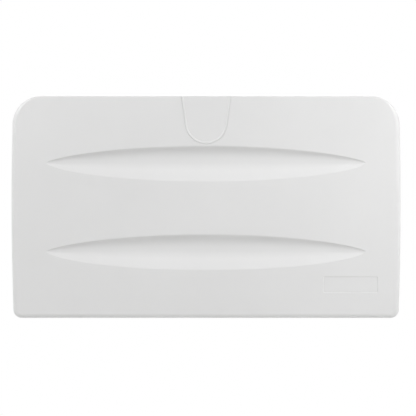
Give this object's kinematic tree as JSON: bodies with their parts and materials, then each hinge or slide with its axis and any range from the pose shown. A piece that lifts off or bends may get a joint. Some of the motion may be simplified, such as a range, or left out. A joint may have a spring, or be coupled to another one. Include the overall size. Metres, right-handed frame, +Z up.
{
  "type": "baby changing station",
  "caption": "Wall-mounted horizontal baby changing station: moulded bed with scooped front folds down from a shallow housing on a full-length hinge, with damper, strap and liner pockets.",
  "frame": {"origin": "centre of the housing's back face, on the wall", "axes": "+X to the right seen from the front, -Y out from the wall, +Z up"},
  "size_m": [0.88, 0.102, 0.502],
  "materials": {
    "shell_plastic": "satin moulded, fine grain",
    "tray_plastic": "satin moulded",
    "steel": "zinc plated",
    "dark_plastic": "fine grain",
    "rubber": "matt",
    "webbing": "woven"
  },
  "bodies": {
    "housing": {"wall_housing": "shell_plastic", "back_panel": "tray_plastic", "hinge_leaf_fixed": "steel", "hinge_pin": "steel", "wall_bracket_left": "steel", "liner_tray_left": "tray_plastic", "bag_hook_left": "steel", "damper_left": "dark_plastic", "stop_bumper_left": "rubber", "magnet_catch_left": "dark_plastic", "wall_bracket_right": "steel", "liner_tray_right": "tray_plastic", "bag_hook_right": "steel", "damper_right": "dark_plastic", "stop_bumper_right": "rubber", "magnet_catch_right": "dark_plastic"},
    "bed": {"bed_cover": "shell_plastic", "handle_insert": "shell_plastic", "bed_tray": "tray_plastic", "hinge_leaf_moving": "steel", "strap_lower": "webbing", "strap_upper": "webbing", "strap_bezel_lower": "dark_plastic", "strap_bezel_upper": "dark_plastic", "strap_anchor_lower": "steel", "strap_anchor_upper": "steel", "buckle_female": "dark_plastic", "damper_arm_left": "steel", "strike_plate_left": "steel", "bed_rail_left": "steel", "damper_arm_right": "steel", "strike_plate_right": "steel", "bed_rail_right": "steel"},
    "buckle": {"buckle_male": "dark_plastic"}
  },
  "joints": [
    {"name": "bed_fold", "type": "hinge", "parent": "housing", "child": "bed", "pos_m": [0, -0.04, -0.221], "axis": [1, 0, 0], "range_deg": [0, 90]},
    {"name": "buckle_clip", "type": "slide", "parent": "bed", "child": "buckle", "axis": [0, 0, 1], "range_m": [0, 0.03], "deforming": ["strap_upper"]}
  ]
}
